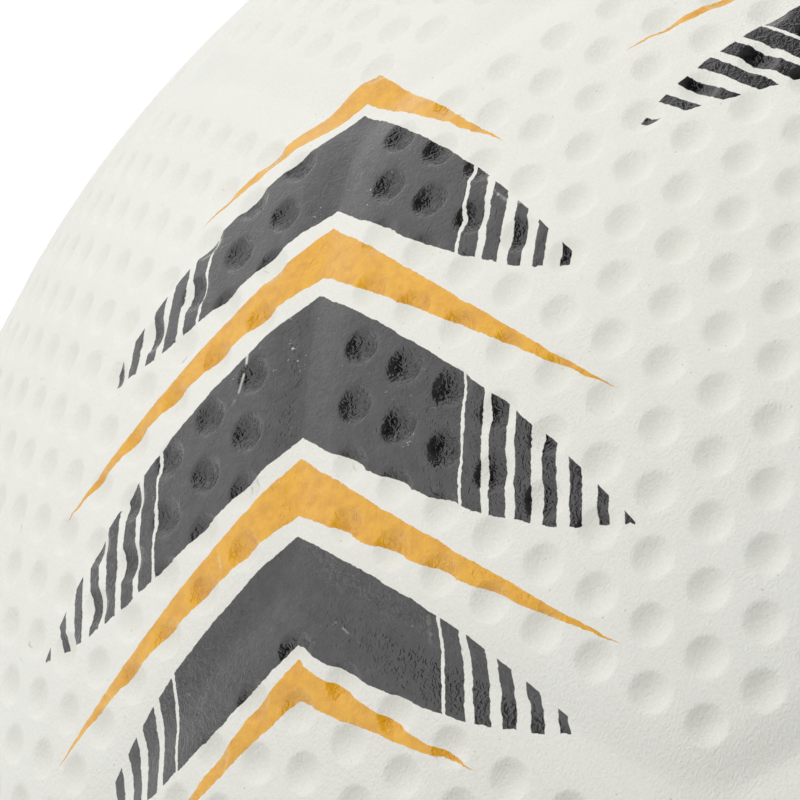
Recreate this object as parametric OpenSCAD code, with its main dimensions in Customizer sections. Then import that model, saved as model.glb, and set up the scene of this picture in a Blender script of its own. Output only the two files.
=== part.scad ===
// Moulded rubber soccer ball: dimpled cover panels over a nylon winding, a bladder and its valve.
// The ball's centre is the origin and +Z points out of the valve.

/* [Ball] */
// Outside diameter of the inflated ball
ball_d = 220; // [190:1:226]
// Thickness of a cover panel
cover_t = 2.4; // [2:0.1:4]
// Thickness of the nylon winding under the cover
winding_t = 0.6; // [0.4:0.1:2]
// Thickness of the bladder's wall
bladder_t = 0.7; // [0.4:0.1:2]

/* [Seams] */
// Depth of the groove where two panels meet
seam_depth = 0.8; // [0.4:0.1:1.2]
// Distance from a seam to the shoulder of its groove
seam_half_w = 3.6; // [2.5:0.1:3.8]

/* [Dimples] */
// Width of a dimple at the ball's surface
dimple_d = 3.8; // [3:0.1:4.2]
// Depth of a dimple at its middle
dimple_depth = 0.45; // [0.3:0.05:0.6]
// Distance from a seam to the middles of the outermost row
dimple_margin = 6.05; // [6:0.05:9]
// Dimples along one side of a hexagon panel
hex_row = 8; // [4:1:8]
// Dimples along one side of a pentagon panel
pent_row = 7; // [4:1:7]

/* [Valve] */
// Diameter of the valve housing's stem
stem_d = 10; // [9:0.5:14]
// Width of the smooth collar that the cover keeps round the stem
collar_w = 3; // [2:0.5:8]
// Width of the housing's flange under the bladder
flange_d = 34; // [24:1:50]
// Thickness of that flange
flange_t = 1.2; // [0.8:0.1:2]
// Glue line between the flange and the bladder
glue_t = 0.1; // [0.05:0.05:0.3]
// Length of the stem inside the bladder
stem_in = 14; // [12:1:20]
// Clearance between the stem and the layers that it passes
stem_gap = 0.05; // [0:0.05:0.2]
// Diameter of the valve core
core_d = 6.6; // [5:0.2:7]
// How far the core's face lies below the stem's end
core_recess = 0.4; // [0:0.1:1]
// Diameter of the rib that holds the core
rib_d = 7.8; // [7.2:0.1:8.2]
// Height of the rib on each side of its crest
rib_h = 1.2; // [0.8:0.1:2]
// Depth of the rib's crest below the core's face
rib_down = 8; // [5:0.5:9]
// How far the stem reaches below the core
core_up = 1; // [0.5:0.5:2]
// Clearance between the core and the housing
core_gap = 0.05; // [0:0.05:0.2]
// Diameter of the needle passage
needle_d = 2; // [1.6:0.1:2.6]
// Depth of the needle passage
needle_len = 13; // [8:0.5:14]
// Width and depth of the passage's flared mouth
needle_lead = 0.6; // [0.3:0.1:1]

/* [Hidden] */
$fn = 200;
dimple_fn = 24;
spare = 1;
ball_r = ball_d / 2;
cover_in_r = ball_r - cover_t;
winding_in_r = cover_in_r - winding_t;
bladder_in_r = winding_in_r - bladder_t;

// The panels' middles: pentagons lie at an icosahedron's corners, hexagons at its faces
function unit(v) = v / norm(v);
function angle(u, v) = acos(unit(u) * unit(v));
function dir(polar, az) = [sin(polar) * cos(az), sin(polar) * sin(az), cos(polar)];
upper_polar = acos(sqrt((5 + 2 * sqrt(5)) / 15));
middle_polar = acos(sqrt((5 - 2 * sqrt(5)) / 15));
corner_rings = [[upper_polar, 60], [middle_polar, 0], [180 - middle_polar, 60], [180 - upper_polar, 0]];
pent_dirs = [for (ring = corner_rings) for (k = [0:2]) dir(ring[0], ring[1] + 120 * k)];
function adjoin(i, j) = angle(pent_dirs[i], pent_dirs[j]) < 70;
hex_trios = [for (i = [0:9]) for (j = [i + 1:10]) for (k = [j + 1:11])
  if (adjoin(i, j) && adjoin(j, k) && adjoin(i, k)) [i, j, k]];
function trio_dir(t) = unit(pent_dirs[t[0]] + pent_dirs[t[1]] + pent_dirs[t[2]]);
hex_dirs = [for (t = hex_trios) trio_dir(t)];
function trios_at(i) = [for (t = hex_trios) if (t[0] == i || t[1] == i || t[2] == i) t];

// Each icosahedron edge is cut in thirds, which gives panels with equal sides
near_corner = unit(2 * pent_dirs[0] + pent_dirs[1]);
next_corner = unit(2 * pent_dirs[0] + pent_dirs[2]);
side_mid = unit(near_corner + next_corner);
side_angle = angle(near_corner, next_corner);
hex_apothem = angle(hex_dirs[0], side_mid);
pent_apothem = angle(pent_dirs[0], side_mid);

// The groove's wall climbs from the seam to meet the ball's surface at its shoulder
groove_in_r = ball_r - seam_depth;
groove_rise = (sqrt(ball_r * ball_r - seam_half_w * seam_half_w) - groove_in_r) / seam_half_w;

// The dimple is a dish cut by a ball whose size follows from its width and depth
dish_r = (dimple_d * dimple_d / 4 + dimple_depth * dimple_depth) / (2 * dimple_depth);
dish_up = ball_r - dimple_depth + dish_r;
bare_r = stem_d / 2 + collar_w;

// The flange's curve and the valve's heights along +Z
flange_r = bladder_in_r - glue_t;
stem_top = sqrt(ball_r * ball_r - stem_d * stem_d / 4);
stem_bottom = bladder_in_r - stem_in;
core_top = stem_top - core_recess;
core_bottom = stem_bottom + core_up;
rib_z = core_top - rib_down;

function numbered(name, k) = str(name, k < 9 ? "0" : "", k + 1);
hex_names = [for (k = [0:len(hex_dirs) - 1]) numbered("hex_panel_", k)];
pent_names = [for (k = [0:len(pent_dirs) - 1]) numbered("pent_panel_", k)];

// Turns a panel made about +Z to its middle, with its first side facing another direction
function panel_frame(n, facing) = let (x = unit(facing - (facing * n) * n), y = cross(n, x))
  [[x[0], y[0], n[0], 0], [x[1], y[1], n[1], 0], [x[2], y[2], n[2], 0], [0, 0, 0, 1]];

// Dimple middles in rings round the panel's middle, as arc lengths, with one of three sets for each:
// no two neighbours share a set, so the dishes of a set stand clear of each other
function set_of(s, ring, j) = ((s % 2 == 0 ? ring - 2 * j : 2 * j - ring) + 3 * ring) % 3;
function ring_spots(sides, rows, step) = [[0, 0, 0], for (ring = [1:rows - 1]) for (s = [0:sides - 1])
  let (from = (2 * s + 1) * 180 / sides, to = from + 360 / sides) for (j = [0:ring - 1])
    [step * ((ring - j) * cos(from) + j * cos(to)),
     step * ((ring - j) * sin(from) + j * sin(to)), set_of(s, ring, j)]];
function dimple_step(sides, apothem, rows) =
  (ball_r * apothem * PI / 180 - dimple_margin) / ((rows - 1) * cos(180 / sides));

module shell(outer_r, inner_r) difference() {
  rotate([90, 0, 0]) sphere(r = outer_r);
  rotate([90, 0, 0]) sphere(r = inner_r);
}

module each_side(sides) for (k = [0:sides - 1]) rotate([0, 0, k * 360 / sides]) children();

// Everything past the plane through the ball's middle and a panel's first side
module past_side(apothem) rotate([0, apothem, 0])
  translate([0, -ball_d, -ball_d]) cube([ball_d, 2 * ball_d, 2 * ball_d]);

// The groove along a panel's first side, turned about that side's plane
module side_groove(apothem) rotate([0, 90 + apothem, 0]) rotate([0, 0, 180 - side_angle])
  rotate_extrude(angle = 2 * side_angle) polygon([
    [groove_in_r - groove_rise * spare, spare],
    [ball_r + spare, -(seam_depth + spare) / groove_rise],
    [ball_r + spare, spare]]);

module panel_blank(sides, apothem) difference() {
  shell(ball_r, cover_in_r);
  each_side(sides) past_side(apothem);
}

// Grooves are cut one side after another, then the dimples one set after another
module grooved(sides, apothem, last) {
  if (last < 0) panel_blank(sides, apothem);
  else difference() {
    grooved(sides, apothem, last - 1);
    rotate([0, 0, last * 360 / sides]) side_groove(apothem);
  }
}

module dish(spot) rotate([0, 0, atan2(spot[1], spot[0])])
  rotate([0, norm([spot[0], spot[1]]) * 180 / PI / ball_r, 0])
  translate([0, 0, dish_up]) rotate([90, 0, 0]) sphere(r = dish_r, $fn = dimple_fn);

module dimpled(sides, apothem, spots, last) {
  if (last < 0) grooved(sides, apothem, sides - 1);
  else difference() {
    dimpled(sides, apothem, spots, last - 1);
    for (spot = spots) if (spot[2] == last) dish(spot);
  }
}

module panel(sides, apothem, rows, bare = 0) {
  spots = ring_spots(sides, rows, dimple_step(sides, apothem, rows));
  kept = [for (p = spots) if (bare == 0 || norm([p[0], p[1]]) >= bare + dimple_d / 2) p];
  dimpled(sides, apothem, kept, 2);
}

module stem_hole() cylinder(d = stem_d + 2 * stem_gap, h = ball_d);

module hex_panel(k) color("whitesmoke") multmatrix(panel_frame(hex_dirs[k], pent_dirs[hex_trios[k][0]])) {
  if (k == 0) difference() {
    panel(6, hex_apothem, hex_row, bare_r);
    stem_hole();
  }
  else panel(6, hex_apothem, hex_row);
}

module pent_panel(k) color("white") multmatrix(panel_frame(pent_dirs[k], trio_dir(trios_at(k)[0])))
  panel(5, pent_apothem, pent_row);

module winding() color("tan") difference() {
  shell(cover_in_r, winding_in_r);
  stem_hole();
}

module bladder() color("dimgray") difference() {
  shell(winding_in_r, bladder_in_r);
  stem_hole();
}

// The core's outline, also used with a clearance for its seat
module core_form(gap, from, to) rotate_extrude() polygon([
  [0, from], [core_d / 2 + gap, from], [core_d / 2 + gap, rib_z - rib_h], [rib_d / 2 + gap, rib_z],
  [core_d / 2 + gap, rib_z + rib_h], [core_d / 2 + gap, to], [0, to]]);

module valve_housing() color("black") difference() {
  union() {
    intersection() {
      shell(flange_r, flange_r - flange_t);
      cylinder(d = flange_d, h = ball_d);
    }
    translate([0, 0, stem_bottom]) cylinder(d = stem_d, h = stem_top - stem_bottom);
  }
  core_form(core_gap, stem_bottom - spare, stem_top + spare);
}

module valve_core() color("darkslategray") difference() {
  core_form(0, core_bottom, core_top);
  translate([0, 0, core_top - needle_len]) cylinder(d = needle_d, h = needle_len + spare);
  translate([0, 0, core_top - needle_lead])
    cylinder(d1 = needle_d, d2 = needle_d + 4 * needle_lead, h = 2 * needle_lead);
}

for (k = [0:len(hex_names) - 1]) hex_panel(k);
for (k = [0:len(pent_names) - 1]) pent_panel(k);
winding();
bladder();
valve_housing();
valve_core();
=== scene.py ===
import itertools
import math

import bpy
import numpy as np
from mathutils import Matrix, Vector


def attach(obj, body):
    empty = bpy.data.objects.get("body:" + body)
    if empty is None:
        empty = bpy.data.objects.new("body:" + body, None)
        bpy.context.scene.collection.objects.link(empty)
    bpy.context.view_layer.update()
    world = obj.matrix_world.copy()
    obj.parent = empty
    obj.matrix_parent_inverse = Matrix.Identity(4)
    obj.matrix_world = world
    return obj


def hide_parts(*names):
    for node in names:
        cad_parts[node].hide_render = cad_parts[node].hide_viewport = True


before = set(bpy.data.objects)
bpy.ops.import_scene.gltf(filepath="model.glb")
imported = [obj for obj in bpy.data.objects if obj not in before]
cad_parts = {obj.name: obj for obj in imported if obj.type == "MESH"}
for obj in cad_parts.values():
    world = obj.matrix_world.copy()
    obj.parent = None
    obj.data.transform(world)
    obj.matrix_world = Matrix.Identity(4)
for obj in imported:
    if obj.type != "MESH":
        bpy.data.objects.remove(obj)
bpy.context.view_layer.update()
scene = bpy.context.scene
scene.view_settings.view_transform = "Standard"
mm = 0.001
print("frame loaded:", len(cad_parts), "nodes")


def addObject(name, data):
    made = bpy.data.objects.new(name, data)
    scene.collection.objects.link(made)
    return made


# Small helpers for building node trees

def feed(tree, socket, value):
    if isinstance(value, Wire):
        value = value.socket
    if isinstance(value, bpy.types.NodeSocket):
        tree.links.new(value, socket)
    else:
        socket.default_value = value


def addNode(tree, kind, inputs=None, **settings):
    made = tree.nodes.new(kind)
    for name, value in settings.items():
        setattr(made, name, value)
    for name, value in (inputs or {}).items():
        feed(tree, made.inputs[name], value)
    return made


class Wire:
    # one number in a node tree: a sum written with it becomes Math nodes
    def __init__(self, tree, socket):
        self.tree = tree
        self.socket = socket

    def run(self, operation, *others, clamp=False):
        made = addNode(self.tree, "ShaderNodeMath", operation=operation, use_clamp=clamp)
        for socket, value in zip(made.inputs, (self, *others)):
            feed(self.tree, socket, value)
        return Wire(self.tree, made.outputs[0])

    def __add__(self, other):
        return self.run("ADD", other)

    def __sub__(self, other):
        return self.run("SUBTRACT", other)

    def __mul__(self, other):
        return self.run("MULTIPLY", other)

    def __truediv__(self, other):
        return self.run("DIVIDE", other)

    def size(self):
        return self.run("ABSOLUTE")

    def larger(self, other):
        return self.run("MAXIMUM", other)

    def smaller(self, other):
        return self.run("MINIMUM", other)

    def flip(self):
        return self.run("MULTIPLY_ADD", -1.0, 1.0)

    def share(self):
        return self.run("ADD", 0.0, clamp=True)

    def ramp(self, gain, start):
        return self.run("MULTIPLY_ADD", gain, start, clamp=True)


def vectorMath(tree, operation, *values, **inputs):
    return addNode(tree, "ShaderNodeVectorMath", {**dict(enumerate(values)), **inputs}, operation=operation)


def noise(tree, vector, scale, detail=2.0, roughness=0.5, distortion=0.0):
    made = addNode(tree, "ShaderNodeTexNoise", {"Vector": vector, "Scale": scale, "Detail": detail,
                                                "Roughness": roughness, "Distortion": distortion})
    return Wire(tree, made.outputs[0])


def thinLine(tree, where, noiseSettings, sharp):
    # 1 along a noise's middle level, falling off on both sides
    return (noise(tree, where, *noiseSettings) - 0.5).size().ramp(-sharp, 1.0)


def mixColour(tree, factor, first, second):
    # this node's colours are its sockets 6 and 7, and its output 2
    made = addNode(tree, "ShaderNodeMix", {0: factor, 6: first, 7: second}, data_type="RGBA")
    return made.outputs[2]


def bump(tree, height, distance, strength, normal=None):
    made = addNode(tree, "ShaderNodeBump", {"Height": height, "Distance": distance, "Strength": strength})
    if normal is not None:
        feed(tree, made.inputs["Normal"], normal)
    return made.outputs["Normal"]


def plug(tree, shader, **sockets):
    for socket, value in sockets.items():
        feed(tree, shader.inputs[socket.replace("_", " ")], value)


def newMaterial(name, **constants):
    material = bpy.data.materials.new(name)
    material.use_nodes = True
    tree = material.node_tree
    shader = tree.nodes["Principled BSDF"]
    plug(tree, shader, **constants)
    return material, tree, shader


def objectPlace(tree):
    return addNode(tree, "ShaderNodeTexCoord").outputs["Object"]


# The panel net: pentagons at an icosahedron's corners, hexagons at its faces

cover = {"radius": 110 * mm, "thickness": 2.4 * mm, "sideSteps": 98, "capShares": (0.75, 0.5, 0.25),
         "dimpleMargin": 6.05 * mm, "hexRow": 8, "pentRow": 7,
         "seamReach": 4.8 * mm, "seamCurve": 1.6, "seamRound": 0.18,
         "holeRadius": 5.05 * mm, "bareRadius": 9.9 * mm, "holeRings": 70,
         "lipWidth": 0.5 * mm, "lipDrop": 0.25 * mm}

upperPolar = math.acos(math.sqrt((5 + 2 * math.sqrt(5)) / 15))
middlePolar = math.acos(math.sqrt((5 - 2 * math.sqrt(5)) / 15))
nearCosine = math.cos(math.radians(70))  # neighbouring corners stand about 63 degrees apart


def onBall(polar, azimuth):
    turn = math.radians(azimuth)
    return np.array((math.sin(polar) * math.cos(turn), math.sin(polar) * math.sin(turn), math.cos(polar)))


def unit(v):
    return v / np.linalg.norm(v, axis=-1, keepdims=True)


def adjoin(trio):
    return all(pentMiddles[i] @ pentMiddles[j] > nearCosine for i, j in itertools.combinations(trio, 2))


def placeMatrix(middle, facing):
    x = unit(facing - (facing @ middle) * middle)
    return Matrix(np.column_stack((x, np.cross(middle, x), middle)).tolist()).to_4x4()


cornerRings = [(upperPolar, 60), (middlePolar, 0), (math.pi - middlePolar, 60), (math.pi - upperPolar, 0)]
pentMiddles = [onBall(polar, first + 120 * k) for polar, first in cornerRings for k in range(3)]
hexTrios = [trio for trio in itertools.combinations(range(12), 3) if adjoin(trio)]
hexMiddles = [unit(sum(pentMiddles[i] for i in trio)) for trio in hexTrios]
trioOfPent = [next(k for k, trio in enumerate(hexTrios) if i in trio) for i in range(12)]
# each icosahedron edge is cut in thirds, which gives panels with equal sides
sideMiddle = unit(unit(2 * pentMiddles[0] + pentMiddles[1]) + unit(2 * pentMiddles[0] + pentMiddles[2]))
hexApothem = math.acos(hexMiddles[0] @ sideMiddle)
pentApothem = math.acos(pentMiddles[0] @ sideMiddle)


# One panel about +Z, as flat rings that are blown up onto the ball

def cornersAt(sides, reach):
    turns = (2 * np.arange(sides + 1) + 1) * math.pi / sides
    return reach * np.column_stack((np.cos(turns), np.sin(turns)))


def ringPoints(corners, ring, steps):
    sides = len(corners) - 1
    k = np.arange(sides * ring)
    s, j = (k // ring)[:, None], (k % ring)[:, None]
    return ((ring - j) * corners[s[:, 0]] + j * corners[s[:, 0] + 1]) / steps


def ringsFrom(corners, last, steps):
    rings = [ringPoints(corners, ring, steps) for ring in range(1, last + 1)]
    return np.concatenate([np.zeros((1, 2))] + rings)


def fanFaces(sides, steps):
    faces = []
    for ring in range(1, steps + 1):
        k = np.arange(sides * ring)
        s, j = k // ring, k % ring
        outer = 1 + sides * ring * (ring - 1) // 2
        inner = 1 + sides * (ring - 1) * (ring - 2) // 2
        count = max(1, sides * (ring - 1))
        below = (inner if ring > 1 else 0) + (s * (ring - 1) + j) % count
        faces.append(np.column_stack((below, outer + k, outer + (k + 1) % (sides * ring))))
        mid = j > 0
        before = inner + (s * (ring - 1) + j - 1) % count
        faces.append(np.column_stack((before, outer + k, below))[mid])
    return np.concatenate(faces)


def loopFaces(first, second):
    return np.column_stack((first, second, np.roll(second, -1), np.roll(first, -1)))


def blowUp(flat, radius):
    return radius * unit(np.column_stack((flat, np.ones(len(flat)))))


def dimpleSpots(sides, apothem, rows, bare):
    step = (cover["radius"] * apothem - cover["dimpleMargin"]) / ((rows - 1) * math.cos(math.pi / sides))
    flat = ringsFrom(cornersAt(sides, step), rows - 1, 1)
    reach = np.hypot(flat[:, 0], flat[:, 1])
    flat, reach = flat[reach >= bare], reach[reach >= bare]
    polar = reach / cover["radius"]
    aside = flat * (np.sin(polar) / np.maximum(reach, 1e-9))[:, None]
    return cover["radius"] * np.column_stack((aside, np.cos(polar)))


def seamShare(points, sides, apothem):
    # 1 along every seam, falling to 0 at the shoulders and blended where seams meet
    turns = 2 * np.arange(sides) * math.pi / sides
    inward = np.column_stack((-math.cos(apothem) * np.cos(turns), -math.cos(apothem) * np.sin(turns),
                              np.full(sides, math.sin(apothem))))
    away = cover["radius"] * np.arcsin(np.clip(unit(points) @ inward.T, 0, 1)) / cover["seamReach"]
    soft = np.hypot(away, cover["seamRound"])
    valleys = (np.clip(1 - soft, 0, 1) / (1 - cover["seamRound"])) ** cover["seamCurve"]
    return 1 - np.prod(1 - valleys, axis=1)


def panelTemplate(name, sides, apothem, rows, hole=0.0, bare=0.0):
    steps, radius = cover["sideSteps"], cover["radius"]
    corners = cornersAt(sides, math.tan(apothem) / math.cos(math.pi / sides))
    edge = ringPoints(corners, steps, steps)
    loopSize = len(edge)
    loop = np.arange(loopSize)
    if hole:
        circle = math.tan(hole / radius) * unit(edge)
        grows = np.linspace(0, 1, cover["holeRings"])
        skin = np.concatenate([circle + grow * (edge - circle) for grow in grows])
        faces = [loopFaces(loop + i * loopSize, loop + (i + 1) * loopSize) for i in range(len(grows) - 1)]
        underside = [edge, circle]
    else:
        skin = ringsFrom(corners, steps, steps)
        faces = [fanFaces(sides, steps)]
        underside = [edge] + [share * edge for share in cover["capShares"]]
    points = [blowUp(skin, radius)]
    rim = len(skin) - loopSize + loop
    last, count = rim, len(skin)
    for flat in underside:
        points.append(blowUp(flat, radius - cover["thickness"]))
        faces.append(loopFaces(last, count + loop))
        last, count = count + loop, count + loopSize
    if hole:
        faces.append(loopFaces(last, loop))
    else:
        points.append(np.array([[0, 0, radius - cover["thickness"]]]))
        faces.append(np.column_stack((last, np.full(loopSize, count), np.roll(last, -1))))
        count += 1
    # the dimples' middles ride along as loose points, which the pressing takes out again
    points = np.concatenate(points + [dimpleSpots(sides, apothem, rows, bare)])
    isSkin = np.arange(len(points)) < len(skin)
    isRim = np.isin(np.arange(len(points)), rim)
    lip = np.zeros(len(points))
    if hole:
        isRim[loop] = True
        near = 1 - (np.hypot(points[:, 0], points[:, 1]) - hole) / cover["lipWidth"]
        lip = cover["lipDrop"] * np.clip(near, 0, 1) ** 2 * isSkin
    mesh = bpy.data.meshes.new(name)
    mesh.from_pydata(points.tolist(), [], [face for group in faces for face in group.tolist()])
    columns = {"skin": ("FLOAT", isSkin.astype(float)), "lip": ("FLOAT", lip),
               "seam": ("FLOAT", seamShare(points, sides, apothem)),
               "rim": ("BOOLEAN", isRim), "spot": ("BOOLEAN", np.arange(len(points)) >= count)}
    for key, (kind, values) in columns.items():
        mesh.attributes.new(key, kind, "POINT").data.foreach_set("value", values)
    return mesh


# The nodes that press dimples and seams into a panel

pressing = {"Dimple Radius": 1.86 * mm, "Dimple Depth": 0.6 * mm, "Rim Softness": 0.13 * mm,
            "Gather Reach": 0.9 * mm, "Gather Share": 0.4, "Seam Depth": 0.65 * mm,
            "Unevenness": 0.05 * mm, "Uneven Scale": 90.0}


def pressingTree():
    tree = bpy.data.node_groups.new("pressCover", "GeometryNodeTree")
    face = tree.interface
    face.new_socket("Geometry", in_out="INPUT", socket_type="NodeSocketGeometry")
    for name in pressing:
        face.new_socket(name, in_out="INPUT", socket_type="NodeSocketFloat")
    face.new_socket("Finish", in_out="INPUT", socket_type="NodeSocketMaterial")
    face.new_socket("Geometry", in_out="OUTPUT", socket_type="NodeSocketGeometry")
    entry = addNode(tree, "NodeGroupInput")
    given = {name: Wire(tree, entry.outputs[name]) for name in pressing}

    def stored(name, kind="FLOAT"):
        made = addNode(tree, "GeometryNodeInputNamedAttribute", {"Name": name}, data_type=kind)
        return Wire(tree, made.outputs["Attribute"])

    def along(vector, length):
        heading = vectorMath(tree, "NORMALIZE", vector).outputs["Vector"]
        return vectorMath(tree, "SCALE", heading, Scale=length).outputs["Vector"]

    split = addNode(tree, "GeometryNodeSeparateGeometry",
                    {"Geometry": entry.outputs["Geometry"], "Selection": stored("spot", "BOOLEAN")})
    spots = addNode(tree, "GeometryNodeMeshToPoints", {"Mesh": split.outputs["Selection"]})
    reach = addNode(tree, "GeometryNodeProximity", {"Geometry": spots.outputs["Points"]},
                    target_element="POINTS")
    distance = Wire(tree, reach.outputs["Distance"])
    place = addNode(tree, "GeometryNodeInputPosition").outputs["Position"]

    # the mesh is drawn together at the dimples' rims, so that these stay crisp
    fromRim = ((distance - given["Dimple Radius"]) / given["Gather Reach"]).larger(-1.0).smaller(1.0)
    drawnIn = (fromRim * fromRim - 1.0) * fromRim * given["Gather Share"].flip() * given["Gather Reach"]
    aside = vectorMath(tree, "SUBTRACT", place, reach.outputs["Position"]).outputs["Vector"]
    gathered = addNode(tree, "GeometryNodeSetPosition", {
        "Geometry": split.outputs["Inverted"], "Offset": along(aside, drawnIn * stored("skin"))})

    away = distance / given["Dimple Radius"]
    dish = (away * away).flip() * given["Dimple Depth"]
    dent = dish.run("SMOOTH_MAX", 0.0, given["Rim Softness"]) * stored("skin")
    valley = stored("seam") * given["Seam Depth"]
    sway = (noise(tree, place, given["Uneven Scale"], 2.0) - 0.5) * given["Unevenness"]
    drop = ((dent + valley + sway + stored("lip")) * stored("skin")) * -1.0
    moved = addNode(tree, "GeometryNodeSetPosition",
                    {"Geometry": gathered.outputs[0], "Offset": along(place, drop)})
    noted = addNode(tree, "GeometryNodeStoreNamedAttribute",
                    {"Geometry": moved.outputs[0], "Name": "dent", "Value": dent / given["Dimple Depth"]},
                    data_type="FLOAT", domain="POINT")
    smooth = addNode(tree, "GeometryNodeSetShadeSmooth", {"Geometry": noted.outputs[0]}, domain="FACE")
    creased = addNode(tree, "GeometryNodeSetShadeSmooth", {
        "Geometry": smooth.outputs[0], "Selection": stored("rim", "BOOLEAN"), "Shade Smooth": False},
        domain="EDGE")
    real = addNode(tree, "GeometryNodeRealizeInstances", {"Geometry": creased.outputs[0]})
    finished = addNode(tree, "GeometryNodeSetMaterial",
                       {"Geometry": real.outputs[0], "Material": entry.outputs["Finish"]})
    leave = addNode(tree, "NodeGroupOutput")
    tree.links.new(finished.outputs[0], leave.inputs[0])
    return tree


def pressPanel(name, template, matrix, tree, finish):
    blank = template.copy()
    blank.transform(matrix)
    piece = addObject(name, blank)
    modifier = piece.modifiers.new("press", "NODES")
    modifier.node_group = tree
    for item in tree.interface.items_tree:
        if item.in_out == "INPUT" and item.name in pressing:
            modifier[item.identifier] = pressing[item.name]
        if item.name == "Finish":
            modifier[item.identifier] = finish
    evaluated = piece.evaluated_get(bpy.context.evaluated_depsgraph_get())
    pressed = bpy.data.meshes.new_from_object(evaluated)
    piece.modifiers.remove(modifier)
    piece.data = pressed
    pressed.name = name
    bpy.data.meshes.remove(blank)
    for key in ("skin", "lip", "seam", "rim", "spot"):  # only the dents are used by the finish
        if key in pressed.attributes:
            pressed.attributes.remove(pressed.attributes[key])
    return piece


# The cover's finish: white rubber with a printed pattern of chevrons, turned round the valve.
# Noise entries hold scale, detail, roughness and distortion, and Ramp entries hold gain and start

prints = {"foldStart": 160, "foldTurn": 120, "slope": 0.62, "edge": 0.06 * mm, "wobble": 0.5 * mm,
          "wobbleScale": 420, "fray": 0.3 * mm, "frayScale": 1800, "sink": 0.35 * mm,
          "slatPitch": 2.4 * mm, "solidShare": 1.3, "leastSlat": 0.22, "closeSlat": 0.78}
# each bar: ink, middle along the stack, half its thickness, reach of its arms, in millimetres
longStack = {"start": (upperPolar, 180), "end": (middlePolar, 240), "lean": -1,
             "bars": [("orange", -27, 1.8, 17), ("black", -18.5, 5.5, 27), ("orange", -8.5, 2.6, 31),
                      ("black", 3, 7, 33), ("orange", 14.5, 2.6, 31), ("black", 24, 5, 27),
                      ("orange", 32, 1.8, 17)]}
shortStack = {"start": (upperPolar, 180), "end": (upperPolar, 300), "lean": 1,
              "bars": [("orange", -9, 2.0, 24), ("black", 2, 6, 31), ("orange", 12, 2.0, 24)]}
inkWear = {"wornNoise": (90, 2), "wornRamp": (6.0, -3.1),
           "fleckNoise": (1500, 3, 0.7), "fleckRamp": (9.0, -5.9),
           "crackNoise": (38, 1), "crackSharp": 240.0,
           "breakNoise": (900, 2, 0.6), "breakRamp": (9.0, -4.0)}
# dentShadeInBlack keeps the black ink darker in the dents as painted shade
inkSkin = {"black": (0.004, 0.004, 0.005, 1), "rubbedBlack": (0.04, 0.039, 0.039, 1),
           "orange": (0.80, 0.405, 0.012, 1), "deepOrange": (0.58, 0.23, 0.006, 1),
           "mottleNoise": (700, 4, 0.65), "mottleGain": 2.0, "blackStart": 0.4, "dentShadeInBlack": 0.9,
           "orangeStart": 0.8, "orangeInDent": 0.3, "leatherNoise": (1700, 1, 0.5, 1.6),
           "leatherHeight": 0.2 * mm, "flatWrinkle": 0.4, "dentWrinkle": 0.6}
# the rubber's dust colour also paints shade into the dents
rubberSkin = {"white": (0.83, 0.83, 0.785, 1), "warmWhite": (0.80, 0.795, 0.74, 1),
              "dustAndShade": (0.69, 0.685, 0.605, 1), "speck": (0.35, 0.33, 0.28, 1),
              "cloudNoise": (28, 4), "cloudRamp": (2.2, -0.6), "dentShadeAndDust": 0.35,
              "grainNoise": (4200, 2, 0.6), "grainStretch": (1.0, 1.0, 0.6), "grainHeight": 0.11 * mm,
              "grainRamp": (-2.0, 1.2), "grainDust": 0.45, "roughness": 0.52, "roughSpan": 0.1,
              "patchNoise": (60, 2), "patchRamp": (3.0, -1.0), "patchLeast": 0.65, "patchSpan": 0.3,
              "dotScale": 520, "dotSharp": 16.0, "hairNoise": (520, 1), "hairSharp": 40.0,
              "hairGapNoise": (260, 1), "hairGapRamp": (14.0, -10.0), "speckShare": 0.75}


def foldedPlace(tree, where):
    # one third of the upper half stands for the whole ball
    outward = vectorMath(tree, "NORMALIZE", where).outputs["Vector"]
    split = addNode(tree, "ShaderNodeSeparateXYZ", {0: outward})
    x, y, z = (Wire(tree, socket) for socket in split.outputs)
    half = z.run("SIGN")
    x, y = x * half, y * half
    start = math.radians(prints["foldStart"])
    turn = y.run("ARCTAN2", x).run("WRAP", start + math.radians(prints["foldTurn"]), start)
    aside = (x * x + y * y).run("SQRT")
    made = addNode(tree, "ShaderNodeCombineXYZ",
                   {0: aside * turn.run("COSINE"), 1: aside * turn.run("SINE"), 2: z.size()})
    return made.outputs[0]


def stackPlace(tree, folded, stack):
    start, end = onBall(*stack["start"]), onBall(*stack["end"])
    middle, along = unit(start + end), unit(end - start)

    def part(axis):
        return Wire(tree, vectorMath(tree, "DOT_PRODUCT", folded, tuple(axis)).outputs["Value"])

    run = part(along).run("ARCTAN2", part(middle)) * cover["radius"]
    side = part(np.cross(along, middle)).run("ARCSINE").size() * cover["radius"]
    return run, side


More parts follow.
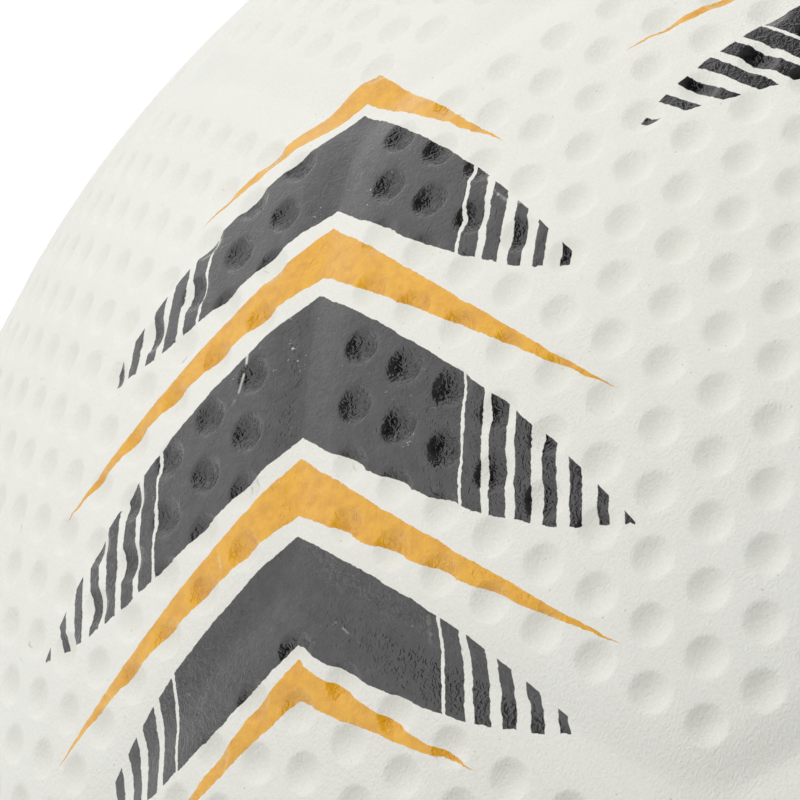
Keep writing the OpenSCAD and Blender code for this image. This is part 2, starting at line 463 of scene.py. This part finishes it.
def inkMasks(tree, where, dent):
    folded = foldedPlace(tree, where)
    wobble = (noise(tree, where, prints["wobbleScale"], 1.0) - 0.5) * prints["wobble"]
    wobble = wobble + (noise(tree, where, prints["frayScale"], 2.0) - 0.5) * prints["fray"]
    masks = {}
    for stack in (longStack, shortStack):
        run, side = stackPlace(tree, folded, stack)
        level = run + side * (prints["slope"] * stack["lean"]) + wobble + dent * prints["sink"]
        side = side + wobble
        count = side / prints["slatPitch"]
        slat = (count.run("FRACT") - 0.5).size()
        slatMiddle = (count.run("FLOOR") + 0.5) * prints["slatPitch"]
        for ink, middle, half, reach in stack["bars"]:
            out = side / (reach * mm)
            if ink == "black":
                thick = (out * out * out).flip() * (half * mm)
                share = (slatMiddle / (reach * -mm) + prints["solidShare"]).larger(prints["leastSlat"])
                share = share + share.run("GREATER_THAN", prints["closeSlat"])
                slats = ((share * 0.5 - slat) * (prints["slatPitch"] / prints["edge"]) + 0.5).share()
            else:
                thick = out.flip() * (half * mm)
                slats = 1.0
            bar = ((thick - (level - middle * mm).size()) / prints["edge"] + 0.5).share() * slats
            masks[ink] = masks[ink].larger(bar) if ink in masks else bar
    return masks["black"], masks["orange"]


def wornInk(tree, where):
    worn = noise(tree, where, *inkWear["wornNoise"]).ramp(*inkWear["wornRamp"])
    flecks = noise(tree, where, *inkWear["fleckNoise"]).ramp(*inkWear["fleckRamp"])
    crack = thinLine(tree, where, inkWear["crackNoise"], inkWear["crackSharp"])
    broken = noise(tree, where, *inkWear["breakNoise"]).ramp(*inkWear["breakRamp"])
    return flecks.larger(crack * broken) * worn


def inkColours(tree, where, dent):
    mottle = noise(tree, where, *inkSkin["mottleNoise"]) * inkSkin["mottleGain"]
    # the black ink is worn to grey in patches, and kept black in the dents as painted shade
    wearLessDentShade = (mottle - inkSkin["blackStart"] - dent * inkSkin["dentShadeInBlack"]).share()
    deep = (mottle - inkSkin["orangeStart"] + dent * inkSkin["orangeInDent"]).share()
    return (mixColour(tree, wearLessDentShade, inkSkin["black"], inkSkin["rubbedBlack"]),
            mixColour(tree, deep, inkSkin["orange"], inkSkin["deepOrange"]))


def rubberColour(tree, where, dent, dustyGrain):
    cloud = noise(tree, where, *rubberSkin["cloudNoise"]).ramp(*rubberSkin["cloudRamp"])
    cells = addNode(tree, "ShaderNodeTexVoronoi",
                    {"Vector": where, "Scale": rubberSkin["dotScale"], "Randomness": 1.0})
    dot = Wire(tree, cells.outputs["Distance"]).ramp(-rubberSkin["dotSharp"], 1.0)
    hair = thinLine(tree, where, rubberSkin["hairNoise"], rubberSkin["hairSharp"])
    hair = hair * noise(tree, where, *rubberSkin["hairGapNoise"]).ramp(*rubberSkin["hairGapRamp"])
    colour = mixColour(tree, cloud, rubberSkin["white"], rubberSkin["warmWhite"])
    # the dents are greyed towards the dust colour: partly dust, partly painted shade in the dents
    colour = mixColour(tree, dent * rubberSkin["dentShadeAndDust"], colour, rubberSkin["dustAndShade"])
    colour = mixColour(tree, dustyGrain, colour, rubberSkin["dustAndShade"])
    return mixColour(tree, dot.larger(hair) * rubberSkin["speckShare"], colour, rubberSkin["speck"])


def coverFinish():
    # the ink is a glossy lacquer, so it carries a coat that the rubber lacks
    material, tree, shader = newMaterial("coverRubber", Specular_IOR_Level=0.25, Coat_Roughness=0.06,
                                         Coat_IOR=1.7)
    where = objectPlace(tree)
    dent = Wire(tree, addNode(tree, "ShaderNodeAttribute", attribute_name="dent").outputs["Fac"])
    whole = wornInk(tree, where).flip()
    black, orange = (mask * whole for mask in inkMasks(tree, where, dent))
    ink = black.larger(orange)

    drawn = addNode(tree, "ShaderNodeMapping", {"Vector": where, "Scale": rubberSkin["grainStretch"]})
    grain = noise(tree, drawn.outputs[0], *rubberSkin["grainNoise"])
    patch = noise(tree, where, *rubberSkin["patchNoise"]).ramp(*rubberSkin["patchRamp"])
    patch = patch * rubberSkin["patchSpan"] + rubberSkin["patchLeast"]
    dustyGrain = grain.ramp(*rubberSkin["grainRamp"]) * patch * rubberSkin["grainDust"]
    blackInk, orangeInk = inkColours(tree, where, dent)
    colour = mixColour(tree, orange, rubberColour(tree, where, dent, dustyGrain), orangeInk)
    colour = mixColour(tree, black, colour, blackInk)

    skinBump = bump(tree, grain, rubberSkin["grainHeight"], patch * ink.flip())
    leather = noise(tree, where, *inkSkin["leatherNoise"])
    wrinkled = ink * (dent * inkSkin["dentWrinkle"] + inkSkin["flatWrinkle"])
    inkBump = bump(tree, leather, inkSkin["leatherHeight"], wrinkled, skinBump)
    plug(tree, shader, Base_Color=colour, Coat_Weight=ink, Normal=inkBump, Coat_Normal=inkBump,
         Roughness=(grain - 0.5) * rubberSkin["roughSpan"] + rubberSkin["roughness"])
    return material


# Finishes of the pieces that keep their solids

windingYarn = {"turns": ((0.3, 0.2, 0.0), (1.2, 0.5, 0.4), (0.7, 1.4, 1.1)),
               "waves": {"Scale": 180.0, "Distortion": 1.5, "Detail": 2.0, "Detail Scale": 3.0},
               "latex": (0.42, 0.34, 0.2, 1), "yarn": (0.72, 0.64, 0.48, 1),
               "height": 0.2 * mm, "relief": 0.7}
innerRubber = {"dustNoise": (60, 5, 0.65), "dustRamp": (2.0, -0.7), "roughLeast": 0.45, "roughSpan": 0.25,
               "fineNoise": (2200, 3, 0.6), "height": 0.04 * mm, "relief": 0.6,
               "ringPitch": 0.8 * mm, "fineShare": 0.6, "ringShare": 0.3}
rubberPieces = {
    "bladder": {"name": "bladderButyl", "dark": (0.02, 0.02, 0.021, 1), "pale": (0.1, 0.098, 0.092, 1)},
    "valve_housing": {"name": "valveRubber", "dark": (0.014, 0.014, 0.015, 1),
                      "pale": (0.04, 0.04, 0.04, 1), "ringed": True},
    "valve_core": {"name": "valveCoreRubber", "dark": (0.02, 0.02, 0.022, 1),
                   "pale": (0.06, 0.06, 0.06, 1)}}


def windingFinish():
    material, tree, shader = newMaterial("windingNylon", Roughness=0.75, Specular_IOR_Level=0.3)
    where = objectPlace(tree)
    bands = []
    for turn in windingYarn["turns"]:
        turned = addNode(tree, "ShaderNodeMapping", {"Vector": where, "Rotation": turn}).outputs[0]
        wave = addNode(tree, "ShaderNodeTexWave", {"Vector": turned, **windingYarn["waves"]})
        bands.append(Wire(tree, wave.outputs["Fac"]))
    yarn = bands[0].larger(bands[1]).larger(bands[2])
    plug(tree, shader, Base_Color=mixColour(tree, yarn, windingYarn["latex"], windingYarn["yarn"]),
         Normal=bump(tree, yarn, windingYarn["height"], windingYarn["relief"]))
    return material


def blackRubber(name, dark, pale, ringed=False):
    material, tree, shader = newMaterial(name, Specular_IOR_Level=0.4)
    where = objectPlace(tree)
    dust = noise(tree, where, *innerRubber["dustNoise"])
    height = noise(tree, where, *innerRubber["fineNoise"])
    if ringed:
        split = addNode(tree, "ShaderNodeSeparateXYZ", {0: where})
        x, y = (Wire(tree, split.outputs[k]) for k in (0, 1))
        rings = ((x * x + y * y).run("SQRT") * (2 * math.pi / innerRubber["ringPitch"])).run("SINE")
        height = height * innerRubber["fineShare"] + rings * innerRubber["ringShare"]
    plug(tree, shader, Base_Color=mixColour(tree, dust.ramp(*innerRubber["dustRamp"]), dark, pale),
         Roughness=dust * innerRubber["roughSpan"] + innerRubber["roughLeast"],
         Normal=bump(tree, height, innerRubber["height"], innerRubber["relief"]))
    return material


def dress(nodeName, material):
    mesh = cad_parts[nodeName].data
    mesh.materials.clear()
    mesh.materials.append(material)


# Camera, light and floor

view = {"azimuth": -93.85, "elevation": 29.81, "distance": 0.5527,
        "aimAzimuth": -133.41, "aimElevation": 35.64, "roll": -11.12, "lens": 246.8}
studio = {"fill": 0.18, "white": (1, 1, 1, 1), "floorSize": 12.0, "floorColour": (0.65, 0.65, 0.65, 1),
          "floorGlow": 0.45}
softboxes = {"distance": 1.1, "size": 0.8}
# each lamp: azimuth, elevation, power in watts
lamps = {"sideSoftbox": (197, 15, 6.5), "topSoftbox": (280, 70, 6.0),
         "backSoftbox": (112, 38, 3.3), "farSoftbox": (20, 30, 2.0)}
# a round dark card opposite the bright side, which only gloss shows
card = {"azimuth": 330, "elevation": 52.7, "distance": 1.3, "radius": 5.6, "corners": 64,
        "colour": (0.012, 0.012, 0.012, 1)}
ballMiddle = Vector((0, 0, 0))


def skyPoint(azimuth, elevation, distance):
    return Vector(distance * onBall(math.radians(90 - elevation), azimuth))


def lookAt(place, aim, roll=0.0):
    forward = (aim - place).normalized()
    up = (Vector((0, 0, 1)) - forward.z * forward).normalized()
    turn = math.radians(roll)
    up = math.cos(turn) * up + math.sin(turn) * forward.cross(up)
    turned = Matrix((forward.cross(up), up, -forward)).transposed().to_4x4()
    return Matrix.Translation(place) @ turned


def addCamera():
    data = bpy.data.cameras.new("photoCamera")
    data.lens = view["lens"]
    camera = addObject("photoCamera", data)
    place = skyPoint(view["azimuth"], view["elevation"], view["distance"])
    aim = skyPoint(view["aimAzimuth"], view["aimElevation"], cover["radius"])
    camera.matrix_world = lookAt(place, aim, view["roll"])
    scene.camera = camera


def addSoftbox(name, azimuth, elevation, power):
    data = bpy.data.lights.new(name, "AREA")
    data.size = softboxes["size"]
    data.energy = power
    softbox = addObject(name, data)
    softbox.matrix_world = lookAt(skyPoint(azimuth, elevation, softboxes["distance"]), ballMiddle)
    softbox.visible_camera = False
    softbox.visible_glossy = False


def seenDirectly(tree):
    path = addNode(tree, "ShaderNodeLightPath")
    rays = ("Is Camera Ray", "Is Glossy Ray", "Is Transmission Ray")
    first, second, third = (Wire(tree, path.outputs[name]) for name in rays)
    return first.larger(second).larger(third)


def addWorld():
    world = bpy.data.worlds.new("studio")
    scene.world = world
    world.use_nodes = True
    tree = world.node_tree
    background = tree.nodes["Background"]
    plug(tree, background, Color=studio["white"],
         Strength=seenDirectly(tree) * (1 - studio["fill"]) + studio["fill"])


def addFloor():
    half = studio["floorSize"] / 2
    ground = -cover["radius"]
    corners = [(-half, -half, ground), (half, -half, ground), (half, half, ground), (-half, half, ground)]
    mesh = bpy.data.meshes.new("floor")
    mesh.from_pydata(corners, [], [(0, 1, 2, 3)])
    floor = addObject("floor", mesh)
    material, tree, shader = newMaterial("paleFloor", Base_Color=studio["floorColour"], Roughness=0.9,
                                         Specular_IOR_Level=0.1, Emission_Color=studio["white"])
    plug(tree, shader, Emission_Strength=seenDirectly(tree) * studio["floorGlow"])
    mesh.materials.append(material)


def addCard():
    turns = [2 * math.pi * k / card["corners"] for k in range(card["corners"])]
    corners = [(card["radius"] * math.cos(turn), card["radius"] * math.sin(turn), 0) for turn in turns]
    mesh = bpy.data.meshes.new("darkCard")
    mesh.from_pydata(corners, [], [range(card["corners"])])
    mesh.transform(lookAt(skyPoint(card["azimuth"], card["elevation"], card["distance"]), ballMiddle))
    board = addObject("darkCard", mesh)
    mesh.materials.append(newMaterial("darkCard", Base_Color=card["colour"], Roughness=0.9,
                                      Specular_IOR_Level=0.0)[0])
    board.visible_camera = board.visible_diffuse = board.visible_shadow = False


# Making

addCamera()
for name, sizes in lamps.items():
    addSoftbox(name, *sizes)
addWorld()
addFloor()
addCard()
print("camera, light and floor set")

pressTree = pressingTree()
finish = coverFinish()
plainHex = panelTemplate("plainHex", 6, hexApothem, cover["hexRow"])
valveHex = panelTemplate("valveHex", 6, hexApothem, cover["hexRow"],
                         cover["holeRadius"], cover["bareRadius"])
plainPent = panelTemplate("plainPent", 5, pentApothem, cover["pentRow"])
print("panel blanks made")

places = [("hex", k, valveHex if k == 0 else plainHex, middle, pentMiddles[hexTrios[k][0]])
          for k, middle in enumerate(hexMiddles)]
places += [("pent", k, plainPent, middle, hexMiddles[trioOfPent[k]])
           for k, middle in enumerate(pentMiddles)]
for shape, k, template, middle, facing in places:
    piece = pressPanel(f"{shape}Panel{k + 1:02d}", template, placeMatrix(middle, facing), pressTree, finish)
    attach(piece, "root")
    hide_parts(f"{shape}_panel_{k + 1:02d}")
for template in (plainHex, valveHex, plainPent):
    bpy.data.meshes.remove(template)
print("cover panels pressed:", len(places))

dress("winding", windingFinish())
for nodeName, colours in rubberPieces.items():
    dress(nodeName, blackRubber(**colours))
print("inner pieces dressed")
